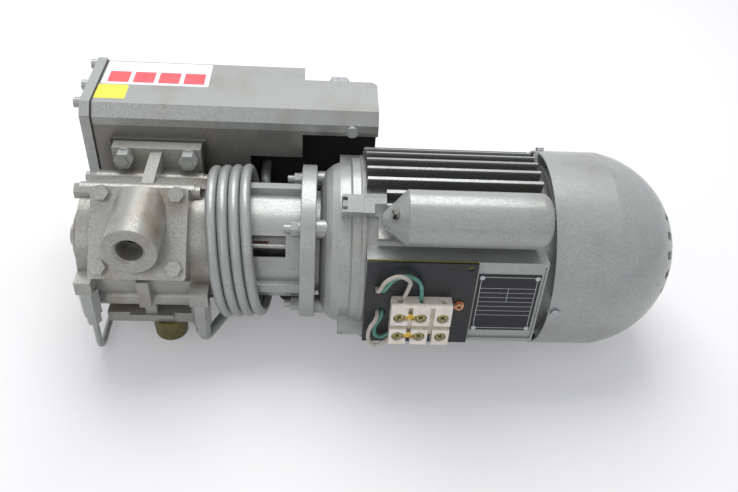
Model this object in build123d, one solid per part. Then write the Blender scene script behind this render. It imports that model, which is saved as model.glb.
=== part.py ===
from build123d import *
from math import atan, cos, degrees, radians, sin, sqrt, tan
import os

# Oil-sealed rotary vane vacuum pump, direct driven by a small flange motor.
# Modelled about its shaft: X runs along the shaft from the pump to the fan, with X = 0 at the middle of the
# pump cylinder. -Y is the front, with the inlet, +Y is the oil box, and +Z is up.
# Angles round the shaft start at the front and turn up towards +Z. Millimetres and degrees.

# ------------------------------------------------------------------ driving sizes: pump
cylinder_length = 69.0
cylinder_radius = 46.6
bore_radius = 33.0
rotor_radius = 28.0
rotor_gap = 0.05
end_gap = 0.05
contact_angle = 112.0
vane_thickness = 5.0
vane_height = 16.5
vane_side_gap = 0.05
vane_sunk = 0.3
vane_tip_margin = 0.3
vane_lead = 90.0
pump_shaft_radius = 10.0
running_gap = 0.04
bush_wall = 5.0
bush_length = 18.0
right_bush_length = 10.0
rib_thickness = 9.0
rib_reach = 49.0

left_cover_thickness = 12.0
right_cover_thickness = 16.5
cover_radius = 50.0
cap_radius = 23.5
cap_height = 10.0
nose_radius = 9.2
nose_height = 5.2
tie_circle = 46.5
tie_bolt_radius = 4.0
tie_lobe_radius = 7.0
tie_scallop = 6.3
tie_thread = 12.0
right_lobe_length = 2.0
tie_angles = (325.0, 86.0, 145.0, 205.0, 245.0, 285.0)

# ------------------------------------------------------------------ driving sizes: inlet
inlet_angle = 45.0
inlet_face = 54.5
inlet_side = 66.6
inlet_drop = 1.45
inlet_plate = 10.0
inlet_gasket = 1.0
inlet_bolt_pitch = 53.0
inlet_bolt_radius = 3.0
inlet_bolt_grip = 4.3
inlet_tube_radius = 19.5
inlet_tube_height = 45.3
inlet_tube_end = 68.9
inlet_thread_radius = 9.3
inlet_thread_length = 18.0
inlet_throat_radius = 8.2
inlet_port_radius = 9.0
valve_pocket_radius = 14.5
valve_pocket_depth = 8.0
valve_disc_radius = 13.0
valve_disc_thickness = 2.0
valve_travel = 4.0
strainer_wall = 0.8
strainer_length = 14.0

# ------------------------------------------------------------------ driving sizes: casting flanges and oil box
flange_front = 46.0
flange_thickness = 10.0
flange_reach = 51.5
sole_front = -38.0
box_gasket = 1.5
pad_thickness = 4.0
pad_overhang = 3.0
stud_x = 25.0
stud_z_top = 44.0
stud_z_low = -35.0
stud_radius = 4.0
box_wall = 5.0
box_top = 78.0
box_bottom = -60.0
box_back = 135.0
box_left = -50.6
box_right = 114.3
box_chamfer_y = 7.6
box_chamfer_z = 9.1
notch_left = 72.0
notch_top = 37.0
notch_back = 82.0
wing_right = 175.0
wing_back = 115.0
wing_lip_bottom = 59.0
wing_corner = 4.0
lid_thickness = 7.8
lid_gasket = 1.0
lid_overhang = 1.75
lid_screw_radius = 2.0
plug_flats = 22.0

# ------------------------------------------------------------------ driving sizes: oil lines and feet
coil_turns = 4
coil_radius = 56.0
coil_tube_radius = 4.0
coil_pitch = 8.4
coil_first = 51.6
coil_lean = 5.2
coil_drop = 1.5
pipe_radius = 2.5
foot_radius_top = 14.0
foot_radius_floor = 12.8
slim_foot_radius = 10.0
foot_drop = 21.0
front_foot = (11.0, -27.0)
box_feet = ((-25.0, 105.0), (150.0, 98.0))
lantern_foot_y = 16.0
line_y = -53.0
return_x = -40.0
return_top = -6.0
cooler_x = 41.5
cooler_top = -16.0
union_length = 24.0
union_nut = 10.0

# ------------------------------------------------------------------ driving sizes: lantern and coupling
lantern_length = 64.6
lantern_radius = 44.0
lantern_wall = 5.0
lantern_disc = 6.0
lantern_rib_reach = 49.5
lantern_rib = 8.0
window_angles = (34.5, 124.5, 214.5, 304.5)
guard_radius = 1.7
rib_angles = (97.0, 187.0, 277.0, 353.0)
window_width = 21.0
window_start = 10.0
window_length = 44.0
ring_radius = 60.0
ring_thickness = 11.5
pilot_radius = 40.0
pilot_depth = 4.0
ring_bolt_circle = 50.0
ring_bolt_radius = 3.0
ring_bolt_angle = 51.0
hub_radius = 22.0
hub_length = 20.0
spider_thickness = 12.0
spider_leg = 5.0
jaw_gap = 0.3
motor_shaft_radius = 9.5

# ------------------------------------------------------------------ driving sizes: motor
shield_length = 34.0
housing_length = 139.0
housing_radius = 66.0
housing_wall = 6.0
fin_height = 9.3
fin_thickness = 2.6
rim_stand = 2.4
fin_pitch = 9.0
fin_setback = 2.5
fin_end_setback = 7.0
fin_phase = 7.5
shaft_height = 77.0
lug_stand = 1.0
bearing_radius = 23.5
bearing_bore = 10.0
bearing_width = 14.0
stator_radius_in = 36.0
airgap = 0.5
stack_length = 80.0
winding_overhang = 22.0
hood_radius = 77.0
hood_sheet = 1.4
hood_overlap = 1.4
hood_straight = 47.3
hood_dome = 60.0
hood_nose_radius = 27.0
fan_radius = 64.0
fan_blades = 8
hood_screw_angles = (3.0, 124.0, 256.0)
shield_lug_angles = (63.0, 153.0, 243.0, 333.0)
shield_bolt_stand = 4.0
hood_screw_x = 3.0
rear_shield_length = 18.0

terminal_angle = 4.0
terminal_stand = 4.5
terminal_half = 38.0
terminal_inset = 2.4
terminal_end_inset = 6.6
board_gasket = 0.8
board_length = 79.0
board_thickness = 1.5
recess_depth = 1.5
recess_rim = 1.2
plate_gap = 2.0
plate_length = 45.5
plate_height = 53.5
block_place = 41.0
block_width = 43.5
block_depth = 9.5
block_top = 7.1
block_bottom = -31.7
block_bridge = 3.0
pole_pitch = 15.9
pole_width = 12.5
upper_row = -6.1
lower_row = -24.0
wire_radius = 1.5

capacitor_angle = 52.6
capacitor_stand = 22.0
capacitor_radius = 19.8
capacitor_inset = 28.9
capacitor_end_inset = 10.1
capacitor_nose = 16.5
capacitor_sheet = 1.2

# ------------------------------------------------------------------ sizes that follow
half = cylinder_length / 2
left_cover_face = -half - left_cover_thickness
right_cover_face = half + right_cover_thickness
nose_face = left_cover_face - cap_height - nose_height
lantern_start = right_cover_face
ring_start = lantern_start + lantern_length
ring_end = ring_start + ring_thickness
housing_start = ring_end + shield_length
housing_end = housing_start + housing_length
hood_start = housing_end - hood_overlap
hood_shoulder = hood_start + hood_straight
fan_start = housing_end + rear_shield_length + 10.0
fin_reach = housing_radius + fin_height
shield_lug_radius = housing_radius + shield_bolt_stand
terminal_face = housing_radius + terminal_stand
terminal_start = housing_start + terminal_inset
terminal_end = housing_end - terminal_end_inset
block_x = terminal_start + block_place
capacitor_centre = housing_radius + capacitor_stand
capacitor_start = housing_start + capacitor_inset
capacitor_end = housing_end - capacitor_end_inset
capacitor_tip = capacitor_start - capacitor_nose
hood_end = hood_shoulder + hood_dome
eccentricity = bore_radius - rotor_radius - rotor_gap
flange_back = flange_front + flange_thickness
box_front = flange_back + box_gasket + pad_thickness
floor = -shaft_height
sole_bottom = floor + foot_drop
hub_start = lantern_start + lantern_disc + 2.0
spider_start = hub_start + hub_length
motor_hub_start = spider_start + spider_thickness
motor_hub_end = motor_hub_start + hub_length

# ------------------------------------------------------------------ small builders
def around(angle, radius):
    """Y and Z of a point at this radius from the shaft."""
    return -radius * cos(radians(angle)), radius * sin(radians(angle))


def rod(radius, start, end, y=0.0, z=0.0):
    """Round bar along X."""
    return Pos((start + end) / 2, y, z) * Rot(0, 90, 0) * Cylinder(radius, abs(end - start))


def rod_y(radius, start, end, x=0.0, z=0.0):
    """Round bar along Y."""
    return Pos(x, (start + end) / 2, z) * Rot(90, 0, 0) * Cylinder(radius, abs(end - start))


def rod_z(radius, start, end, x=0.0, y=0.0):
    """Round bar along Z."""
    return Pos(x, y, (start + end) / 2) * Cylinder(radius, abs(end - start))


def block(x_from, x_to, y_from, y_to, z_from, z_to):
    """Box between these limits."""
    centre = Pos((x_from + x_to) / 2, (y_from + y_to) / 2, (z_from + z_to) / 2)
    return centre * Box(abs(x_to - x_from), abs(y_to - y_from), abs(z_to - z_from))


def hexagon(flats, height):
    """Hexagonal prism, standing on the XY plane."""
    return extrude(RegularPolygon(flats / 2, 6, major_radius=False), height)


def facing(angle, distance, x=0.0):
    """Plane at this distance from the shaft, square to the direction at this angle."""
    y, z = around(angle, distance)
    return Plane(origin=(x, y, z), x_dir=(1, 0, 0), z_dir=(0, -cos(radians(angle)), sin(radians(angle))))


def on(plane, x, y, z, shape):
    """Shape placed in a plane's own coordinates."""
    return plane.location * Pos(x, y, z) * shape


def turned(points):
    """Solid of revolution about the shaft, from (x, radius) points."""
    outline = make_face(Polyline(*[(x, r, 0) for x, r in points], close=True))
    return revolve(outline, Axis.X, 360)


def along_x(angle, radius, x, shape):
    """Shape standing along -Z is laid to point towards -X at this place round the shaft."""
    y, z = around(angle, radius)
    return Pos(x, y, z) * Rot(0, -90, 0) * shape


inlet_plane = facing(inlet_angle, inlet_face)
pad_plane = facing(inlet_angle, inlet_face - inlet_plate - inlet_gasket)
bore_y, bore_z = around(contact_angle + 180, eccentricity)
inlet_corners = [(x, y) for x in (-inlet_bolt_pitch / 2, inlet_bolt_pitch / 2)
                 for y in (-inlet_bolt_pitch / 2, inlet_bolt_pitch / 2)]
stud_places = [(x, z) for x in (-stud_x, stud_x) for z in (stud_z_low, stud_z_top)]


# ------------------------------------------------------------------ pump cylinder and its covers
def pump_cylinder():
    """Casting, alike on both sides of the inlet direction: back flange to the oil box, sole below."""
    body = rod(cylinder_radius, -half, half)
    for angle in tie_angles:
        body += rod(tie_lobe_radius, -half, half, *around(angle, tie_circle))
    pad_distance = inlet_face - inlet_plate - inlet_gasket
    body += on(pad_plane, 0, -inlet_drop, -pad_distance / 2, Box(2 * half, inlet_side, pad_distance))
    body += block(-half, half, flange_front, flange_back, sole_bottom, flange_reach)
    body += block(-half, half, sole_front, flange_back, sole_bottom, sole_bottom + flange_thickness)
    body += block(-half + 3, half - 3, 0, flange_front, -18, 32)
    rib = block(-rib_thickness / 2, rib_thickness / 2, 0, flange_front, 0, rib_reach)
    rib += block(-rib_thickness / 2, rib_thickness / 2, -rib_reach - 3, 0, sole_bottom + 1, 0)
    rib -= block(-rib_thickness, rib_thickness, -rib_reach - 9, sole_front - 1, sole_bottom, -26)
    body += rib
    body += block(-17, 17, sole_front - 3, sole_front + 1, sole_bottom + 6, sole_bottom + flange_thickness)
    body -= on(pad_plane, 0, 0, 50, Box(2 * half + 1, inlet_side + 2, 100))
    body -= rod(bore_radius, -half, half, bore_y, bore_z)
    body -= on(pad_plane, 0, 0, -valve_pocket_depth / 2, Cylinder(valve_pocket_radius, valve_pocket_depth))
    body -= on(pad_plane, 0, 0, -16, Cylinder(inlet_port_radius, 32))
    body -= rod_y(8.0, 10, flange_back, 0, 18)
    for angle in tie_angles:
        body -= rod(tie_bolt_radius, -half, half, *around(angle, tie_circle))
    for x, z in stud_places:
        body -= rod_y(stud_radius, flange_front, flange_back, x, z)
    for x, y in inlet_corners:
        body -= on(pad_plane, x, y, -inlet_bolt_grip / 2, Cylinder(inlet_bolt_radius, inlet_bolt_grip))
    return body


def cover_disc(start, end, lobe_start, lobe_end):
    """Round cover with a lobe at each tie bolt."""
    disc = rod(cylinder_radius, start, end)
    for angle in tie_angles:
        disc += rod(tie_lobe_radius, lobe_start, lobe_end, *around(angle, tie_circle))
    return disc


def left_cover():
    """Blind cover with the bearing cap, and the lug that carries the oil return fitting."""
    cover = cover_disc(left_cover_face, -half, left_cover_face, -half)
    cap_face = left_cover_face - cap_height
    cap = rod(cap_radius, cap_face, left_cover_face)
    cap = fillet(cap.edges().filter_by(GeomType.CIRCLE).sort_by(Axis.X)[0], 4)
    nose = rod(nose_radius, nose_face, cap_face)
    nose = chamfer(nose.edges().filter_by(GeomType.CIRCLE).sort_by(Axis.X)[0], 1)
    cover += cap + nose
    cover += block(left_cover_face, -half, line_y - 7, -38, return_top, 6)
    cover -= rod(pump_shaft_radius + bush_wall, -half - bush_length, -half)
    for angle in tie_angles:
        cover -= rod(tie_bolt_radius, left_cover_face, -half, *around(angle, tie_circle))
    return cover


def right_cover():
    """Cover at the drive end, with the bush, the shaft seal and the lug of the cooler fitting."""
    lobe_end = half + right_lobe_length
    cover = cover_disc(half, right_cover_face, half, lobe_end)
    cover += block(half, cooler_x + 7, line_y - 7, -38, cooler_top, -4)
    cover -= rod(pump_shaft_radius + bush_wall, half, right_cover_face)
    for angle in tie_angles:
        cover -= rod(tie_bolt_radius, half, lobe_end, *around(angle, tie_circle))
        cover -= rod(tie_scallop, lobe_end, right_cover_face, *around(angle, tie_circle))
    for angle in lantern_screw_angles:
        cover -= rod(3, right_cover_face - 10, right_cover_face, *around(angle, lantern_screw_circle))
    return cover


lantern_screw_circle = 31.0
lantern_screw_angles = (10.0, 100.0, 190.0, 280.0)


def bushes():
    """Plain bearings of the two covers."""
    both = rod(pump_shaft_radius + bush_wall, -half - bush_length, -half)
    both += rod(pump_shaft_radius + bush_wall, half, half + right_bush_length)
    return both - rod(pump_shaft_radius + running_gap, -half - bush_length - 1, half + right_bush_length + 1)


def shaft_seal():
    """Lip seal outside the right bush."""
    seal = rod(pump_shaft_radius + bush_wall, half + right_bush_length, right_cover_face)
    return seal - rod(pump_shaft_radius + running_gap, half + right_bush_length, right_cover_face)


def tie_bolts():
    """Hexagon bolts in the left cover, and socket screws in the right one."""
    length = left_cover_thickness + tie_thread
    bolt = hexagon(11, 4.2)
    bolt += Pos(0, 0, -length / 2) * Cylinder(tie_bolt_radius, length)
    bolt = Pos(left_cover_face, 0, 0) * Rot(0, -90, 0) * bolt
    face = half + right_lobe_length
    screw = rod(tie_bolt_radius, half - tie_thread, face) + rod(tie_scallop - 0.3, face, face + 4.2)
    screw -= Pos(face + 1.7, 0, 0) * Rot(0, 90, 0) * hexagon(6, 2.5)
    places = [Pos(0, *around(angle, tie_circle)) for angle in tie_angles]
    return Compound([place * piece for place in places for piece in (bolt, screw)])


# ------------------------------------------------------------------ rotor and vanes
vane_first = contact_angle + 180 + vane_lead
vane_places = (vane_first, vane_first + 120, vane_first + 240)
vane_top = rotor_radius - vane_sunk
vane_foot = vane_top - vane_height


def pump_rotor():
    """Slotted rotor, in one piece with its shaft."""
    rotor = rod(rotor_radius, -half + end_gap, half - end_gap)
    slot_width = vane_thickness + 2 * vane_side_gap
    for angle in vane_places:
        slot = Pos(0, 0, (vane_foot - vane_sunk + rotor_radius + 2) / 2)
        slot *= Box(cylinder_length, slot_width, rotor_radius + 2 - vane_foot + vane_sunk)
        rotor -= Rot(-(angle - 90), 0, 0) * slot
    rotor += rod(pump_shaft_radius, -half - bush_length + 1, spider_start - 1)
    return rotor


def vane(angle):
    """Flat vane with a rounded tip, drawn fully into its slot."""
    plate = Pos(0, 0, (vane_top + vane_foot) / 2)
    plate *= Box(cylinder_length - 2 * end_gap - 0.1, vane_thickness, vane_height)
    tip = plate.edges().filter_by(Axis.X).sort_by(Axis.Z)[-2:]
    return Rot(-(angle - 90), 0, 0) * fillet(tip, vane_thickness * 0.4)


# ------------------------------------------------------------------ inlet
def inlet_flange():
    """Square flange with a level inlet tube that leaves it at a slant."""
    plate = on(inlet_plane, 0, -inlet_drop, -inlet_plate / 2, Box(2 * half, inlet_side, inlet_plate))
    edges = plate.edges().filter_by(lambda e: abs(abs(e.tangent_at(0).dot(inlet_plane.z_dir)) - 1) < 0.01)
    plate = fillet(edges, 3)
    tube = rod_y(inlet_tube_radius, -inlet_tube_end, 20, 0, inlet_tube_height)
    behind = on(inlet_plane, 0, 0, -inlet_plate + 2 - 50, Box(200, 200, 100))
    tube -= behind
    tube -= on(inlet_plane, 0, inlet_side / 2 - inlet_drop + 30, 0, Box(200, 60, 200))
    tube = fillet(tube.edges().filter_by(GeomType.CIRCLE).sort_by(Axis.Y)[0], 1.0)
    flange = plate + tube
    mouth = -inlet_tube_end
    flange -= rod_y(inlet_thread_radius, mouth, mouth + inlet_thread_length, 0, inlet_tube_height)
    countersink = Cone(inlet_thread_radius, inlet_thread_radius + 2, 2)
    flange -= Pos(0, mouth + 1, inlet_tube_height) * Rot(90, 0, 0) * countersink
    turn = inlet_tube_height - inlet_face * sqrt(2) + 8
    flange -= rod_y(inlet_throat_radius, mouth + inlet_thread_length, turn, 0, inlet_tube_height)
    flange -= on(inlet_plane, 0, 4, -inlet_plate / 2 + 2, Cylinder(inlet_port_radius, inlet_plate + 4))
    for x, y in inlet_corners:
        flange -= on(inlet_plane, x, y, -inlet_plate / 2, Cylinder(inlet_bolt_radius + 0.3, inlet_plate))
    return flange


def inlet_seal():
    """Flat gasket under the inlet flange."""
    sheet = on(pad_plane, 0, -inlet_drop, inlet_gasket / 2, Box(2 * half, inlet_side, inlet_gasket))
    sheet -= on(pad_plane, 0, 0, inlet_gasket / 2, Cylinder(valve_pocket_radius, inlet_gasket))
    for x, y in inlet_corners:
        sheet -= on(pad_plane, x, y, inlet_gasket / 2, Cylinder(inlet_bolt_radius + 0.3, inlet_gasket))
    return sheet


def inlet_bolts():
    """Four hexagon bolts with washers."""
    bolts = []
    for x, y in inlet_corners:
        bolt = Pos(0, 0, 0.7) * Cylinder(6.2, 1.4) + Pos(0, 0, 1.4) * hexagon(10, 4)
        shank = inlet_plate + inlet_gasket + inlet_bolt_grip - 0.2
        bolt += Pos(0, 0, -shank / 2) * Cylinder(inlet_bolt_radius, shank)
        bolts.append(on(inlet_plane, x, y, 0, bolt))
    return Compound(bolts)


def inlet_strainer():
    """Thin cup strainer behind the inlet thread."""
    start = -inlet_tube_end + inlet_thread_length
    cup = rod_y(inlet_throat_radius, start, start + strainer_length, 0, inlet_tube_height)
    return cup - rod_y(inlet_throat_radius - strainer_wall, start, start + strainer_length - 1, 0,
                       inlet_tube_height)


def check_valve_disc():
    """Disc that lifts off the flange when the pump draws."""
    depth = inlet_gasket - 0.1 - valve_disc_thickness / 2
    return on(pad_plane, 0, 0, depth, Cylinder(valve_disc_radius, valve_disc_thickness))


# ------------------------------------------------------------------ oil box
def box_outline(bottom, grow=0.0):
    """Side profile of the oil box, with its sloping front top edge, as a YZ face."""
    front, back, top = box_front - grow, box_back + grow, box_top + grow
    points = [(front, bottom), (front, top - box_chamfer_z), (front + box_chamfer_y, top),
              (back, top), (back, bottom)]
    return make_face(Polyline(*[(0, y, z) for y, z in points], close=True))


def oil_box():
    """Oil and exhaust box: main chamber, open at the left, and a shallower wing beside the motor."""
    box = Pos(box_left, 0, 0) * extrude(box_outline(box_bottom), box_right - box_left, dir=(1, 0, 0))
    wing = Pos(box_right, 0, 0) * extrude(box_outline(box_bottom), wing_right - box_right, dir=(1, 0, 0))
    wing -= block(box_right - 1, wing_right + 1, wing_back, box_back + 1, box_bottom - 1, box_top + 1)
    wing -= block(box_right - 1, wing_right + 1, box_front - 1, notch_back, box_bottom - 1, wing_lip_bottom)
    corner = wing.edges().filter_by(Axis.Z).sort_by(lambda e: e.center().X + e.center().Y)[-1]
    wing = chamfer(corner, wing_corner)
    box -= block(notch_left, box_right + 1, box_front - 1, notch_back, box_bottom - 1, notch_top)
    box += wing
    box += block(-half - pad_overhang, half + pad_overhang, box_front - pad_thickness, box_front,
                 sole_bottom, flange_reach + 1)
    inner_top = box_top - box_wall
    hollow = block(box_left, notch_left - box_wall, box_front + box_wall, box_back - box_wall,
                   box_bottom + box_wall, inner_top - box_chamfer_z)
    hollow += block(box_left, box_right - box_wall, box_front + box_chamfer_y + box_wall,
                    box_back - box_wall, notch_top + box_wall, inner_top)
    hollow += block(box_left, box_right - box_wall, notch_back + box_wall, box_back - box_wall,
                    box_bottom + box_wall, inner_top)
    hollow += block(box_left, wing_right - box_wall, notch_back + box_wall, wing_back - box_wall,
                    box_bottom + box_wall, inner_top)
    box -= hollow
    box -= rod_y(14, box_front - pad_thickness, box_front + box_wall, 0, 18)
    for x, z in stud_places:
        box -= rod_y(stud_radius, box_front - pad_thickness, box_front, x, z)
    box -= rod_y(8, wing_back - box_wall, wing_back, plug_x, plug_z)
    for x, z in lid_screw_places():
        depth = 3.6
        box -= rod(lid_screw_radius, box_left, box_left + depth, x, z)
    return box


plug_x = 144.0
plug_z = 62.0


def lid_screw_places():
    """Y and Z of the lid's screws, set in the walls."""
    inset = box_wall / 2
    low, high = box_bottom + inset, box_top - inset
    front, back = box_front + inset, box_back - inset
    middle_y, middle_z = (front + back) / 2, (low + high) / 2
    return [(front, low), (middle_y, low), (back, low), (back, middle_z), (back, high), (middle_y, high),
            (front + box_chamfer_y, high), (front, middle_z)]


def lid_shape(start, thickness, grow):
    """Flat plate in the outline of the oil box."""
    return Pos(start, 0, 0) * extrude(box_outline(box_bottom - grow, grow), thickness, dir=(1, 0, 0))


def oil_box_gasket():
    """Gasket round the open end of the oil box."""
    sheet = lid_shape(box_left - lid_gasket, lid_gasket, 0.6)
    sheet -= block(box_left - 5, box_left + 5, box_front + box_wall, box_back - box_wall,
                   box_bottom + box_wall, box_top - box_wall - box_chamfer_z)
    for y, z in lid_screw_places():
        sheet -= rod(lid_screw_radius, box_left - lid_gasket, box_left, y, z)
    return sheet


def oil_box_lid():
    """Lid of the oil box."""
    lid = lid_shape(box_left - lid_gasket - lid_thickness, lid_thickness, lid_overhang)
    for y, z in lid_screw_places():
        lid -= rod(lid_screw_radius, box_left - lid_gasket - lid_thickness, box_left - lid_gasket, y, z)
    return lid


def lid_screws():
    """Socket screws of the lid."""
    face = box_left - lid_gasket - lid_thickness
    screws = []
    for y, z in lid_screw_places():
        screw = rod(4.2, face - 5, face, y, z) + rod(lid_screw_radius, face, box_left + 3.4, y, z)
        screws.append(screw - along_hex(face - 5, y, z))
    return Compound(screws)


def along_hex(start, y, z):
    """Hexagon socket in a screw head, 2.5 mm deep along X."""
    return Pos(start, y, z) * Rot(0, 90, 0) * hexagon(4, 2.5)


def box_gasket_sheet():
    """Gasket between the pump flange and the oil box pad; it stands out at both sides."""
    sheet = block(-half - 3, half + 3, flange_back, flange_back + box_gasket, sole_bottom, flange_reach + 1)
    sheet -= rod_y(8, flange_back, flange_back + box_gasket, 0, 18)
    for x, z in stud_places:
        sheet -= rod_y(stud_radius, flange_back, flange_back + box_gasket, x, z)
    return sheet


def mounting_bolts():
    """Studs with nuts and washers that carry the oil box on the pump flange."""
    stud = Pos(0, 0, (9 + flange_front - box_front) / 2) * Cylinder(stud_radius, 9 + box_front - flange_front)
    stud += Pos(0, 0, 1.6) * hexagon(13, 6.5) + Pos(0, 0, 0.8) * Cylinder(7.5, 1.6)
    return Compound([Pos(x, flange_front, z) * Rot(90, 0, 0) * stud for x, z in stud_places])


def exhaust_filter():
    """Filter cartridge on the inner wall of the oil box."""
    centre_y, centre_z = notch_back + box_wall + 20, 20.0
    body = rod(16, -20, box_right - box_wall - 0.0, centre_y, centre_z)
    return body - rod(9, -20, box_right - box_wall - 4, centre_y, centre_z)


def exhaust_valve():
    """Leaf valve and its stop over the outlet, inside the oil box."""
    start = box_front + box_wall
    leaf = block(-15, 15, start, start + 0.8, 6, 40)
    stop = block(-15, 15, start + 0.8, start + 4, 32, 40)
    return leaf + stop


def filler_plug():
    """Hexagon plug in the back of the wing, with a flat side up."""
    plug = Pos(plug_x, wing_back, plug_z) * Rot(-90, 0, 0) * hexagon(plug_flats, 16)
    return plug + rod_y(8, wing_back - box_wall, wing_back, plug_x, plug_z)


def front_plug():
    """Small round plug in the front strip of the wing."""
    return rod_y(4.7, box_front - 3, box_front, 154, (box_top - box_chamfer_z + wing_lip_bottom) / 2)


# ------------------------------------------------------------------ feet
def foot(x, y, top, radius=foot_radius_top):
    """Tapered rubber foot, from its seat down to the floor."""
    height = top - floor
    taper = (foot_radius_top - foot_radius_floor) * height / foot_drop
    cone = Pos(x, y, floor + height / 2) * Cone(radius - taper, radius, height)
    return fillet(cone.edges().filter_by(GeomType.CIRCLE).sort_by(Axis.Z)[0], 1.5)


# ------------------------------------------------------------------ oil cooler and lines
coil_middle = Axis((coil_first + coil_pitch * coil_turns / 2, 0, -coil_drop), (0, 1, 0))


def half_turn(start_x, start_y, end_x, under):
    """Half a turn of the coil between two joints level with its middle; it starts and ends upright."""
    start = Vector(start_x, start_y, -coil_drop)
    end = Vector(end_x, -start_y, -coil_drop)
    level = (end - start).normalized()
    pivot = Axis((start + end) * 0.5, level.cross(Vector(0, 0, 1)))
    section = Plane(origin=start, z_dir=(0, 0, 1)) * Circle(coil_tube_radius)
    return revolve(section, pivot, 180 if under else -180)


def leaned(x, y, z):
    """Point of the upright coil after it is leaned about its middle."""
    return Vertex(x, y, z).rotate(coil_middle, -coil_lean).center()


def oil_coil():
    """Cooling coil round the coupling housing; each turn is two half rings, joined tangent."""
    coil = None
    for i in range(coil_turns):
        back = coil_first + coil_pitch * i
        front = back + coil_pitch / 2
        for piece in (half_turn(back, coil_radius, front, False),
                      half_turn(front, -coil_radius, back + coil_pitch, True)):
            coil = piece if coil is None else coil + piece
    last = coil_first + coil_pitch * coil_turns
    way = FilletPolyline((last, coil_radius, -coil_drop), (last, coil_radius, outlet_z), (last, notch_back, outlet_z),
                         radius=coil_tube_radius * 3)
    coil += sweep(Plane(origin=(last, coil_radius, -coil_drop), z_dir=(0, 0, 1)) * Circle(coil_tube_radius), path=way)
    quarter = Plane(origin=(coil_first, coil_radius, -coil_drop), z_dir=(0, 0, 1)) * Circle(coil_tube_radius)
    coil += revolve(quarter, Axis((coil_first, 0, -coil_drop), (1, 0, 0)), -90)
    coil = coil.rotate(coil_middle, -coil_lean)
    low = leaned(coil_first, 0, -coil_drop - coil_radius)
    end = (cooler_x, line_y, cooler_top - union_length - union_nut)
    route = [end, (end[0], end[1], low.Z), (low.X, -22, low.Z), (low.X, 0, low.Z)]
    lead = FilletPolyline(*route, radius=[8, 14])
    coil += sweep(Plane(origin=end, z_dir=(0, 0, -1)) * Circle(coil_tube_radius), path=lead)
    return coil


outlet_z = 14.0


def line_union(x, top):
    """Hexagon union under a cover lug, with a smaller nut below it."""
    union = Pos(x, line_y, top - union_length) * hexagon(13, union_length)
    return union + Pos(x, line_y, top - union_length - union_nut) * hexagon(10, union_nut)


def line_unions():
    """Unions of the oil return line and of the cooling coil, under the lugs of the covers."""
    return Compound([line_union(return_x, return_top), line_union(cooler_x, cooler_top)])


def return_pipe():
    """Oil return line: down from its union, back under the pump and up into the oil box."""
    low = floor + pipe_radius + 1.5
    points = [(return_x, line_y, return_top - union_length - union_nut), (return_x, line_y, low), (return_x, 30, low),
              (return_x, box_front - 24, -50), (return_x, box_front, -50)]
    path = FilletPolyline(*points, radius=[10, 12, 12])
    return sweep(Plane(origin=points[0], z_dir=(0, 0, -1)) * Circle(pipe_radius), path=path)


# ------------------------------------------------------------------ lantern and coupling
def lantern():
    """Windowed coupling housing with its ring flange for the motor."""
    body = rod(lantern_radius, lantern_start, ring_start)
    for angle in rib_angles:
        rib = Pos((lantern_start + ring_start) / 2, 0, lantern_rib_reach - 8)
        rib *= Box(lantern_length, lantern_rib, 16)
        body += Rot(-(angle - 90), 0, 0) * rib
    boss_top = -sqrt(lantern_radius ** 2 - lantern_foot_y ** 2) + 4
    body += rod_z(slim_foot_radius - 2, sole_bottom, boss_top, *lantern_foot)
    body -= rod(lantern_radius - lantern_wall, lantern_start + lantern_disc, ring_start)
    body -= rod(25, lantern_start, lantern_start + lantern_disc)
    for angle in window_angles:
        window = Pos(lantern_start + window_start + window_length / 2, 0, lantern_radius)
        window *= Box(window_length, 2 * lantern_radius * sin(radians(window_width / 2)), 20)
        body -= Rot(-(angle - 90), 0, 0) * window
        guard = around(angle, lantern_radius - lantern_wall / 2)
        window_end = lantern_start + window_start + window_length
        body += rod(guard_radius, lantern_start + window_start - 1, window_end + 1, *guard)
    ring = rod(ring_radius, ring_start, ring_end)
    ring = fillet(ring.edges().filter_by(GeomType.CIRCLE), 1)
    body += ring
    body -= rod(pilot_radius, ring_start - 1, ring_end)
    for angle in ring_angles:
        body -= rod(ring_bolt_radius + 0.3, ring_start, ring_end, *around(angle, ring_bolt_circle))
    for angle in lantern_screw_angles:
        body -= rod(3.3, lantern_start, lantern_start + lantern_disc, *around(angle, lantern_screw_circle))
    return body


ring_angles = tuple(ring_bolt_angle + 90 * i for i in range(4))
lantern_foot = (ring_start - slim_foot_radius - 0.5, lantern_foot_y)


def lantern_screws():
    """Socket screws that hold the lantern to the pump's right cover."""
    start = lantern_start + lantern_disc
    screws = []
    for angle in lantern_screw_angles:
        y, z = around(angle, lantern_screw_circle)
        screws.append(rod(3, lantern_start - 9.5, start, y, z) + rod(5, start, start + 6, y, z))
    return Compound(screws)


def ring_bolts():
    """Studs of the ring flange, screwed into the motor's end shield, with nuts and washers."""
    bolts = []
    for angle in ring_angles:
        y, z = around(angle, ring_bolt_circle)
        bolt = rod(ring_bolt_radius, ring_start - 12, ring_end + 9, y, z) + rod(5.5, ring_start - 1.4, ring_start, y, z)
        bolts.append(bolt + Pos(ring_start - 1.4, y, z) * Rot(0, -90, 0) * hexagon(9.5, 5.4))
    return Compound(bolts)


def spider_form(start, end, grow):
    """Six-legged star between these limits; grow widens it on every side."""
    star = rod(motor_shaft_radius + 2.7 + grow, start, end)
    for i in range(6):
        leg = Pos((start + end) / 2, 0, (hub_radius - 1) / 2)
        leg *= Box(end - start, spider_leg + 2 * grow, hub_radius - 1)
        star += Rot(60 * i, 0, 0) * leg
    return star


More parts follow.
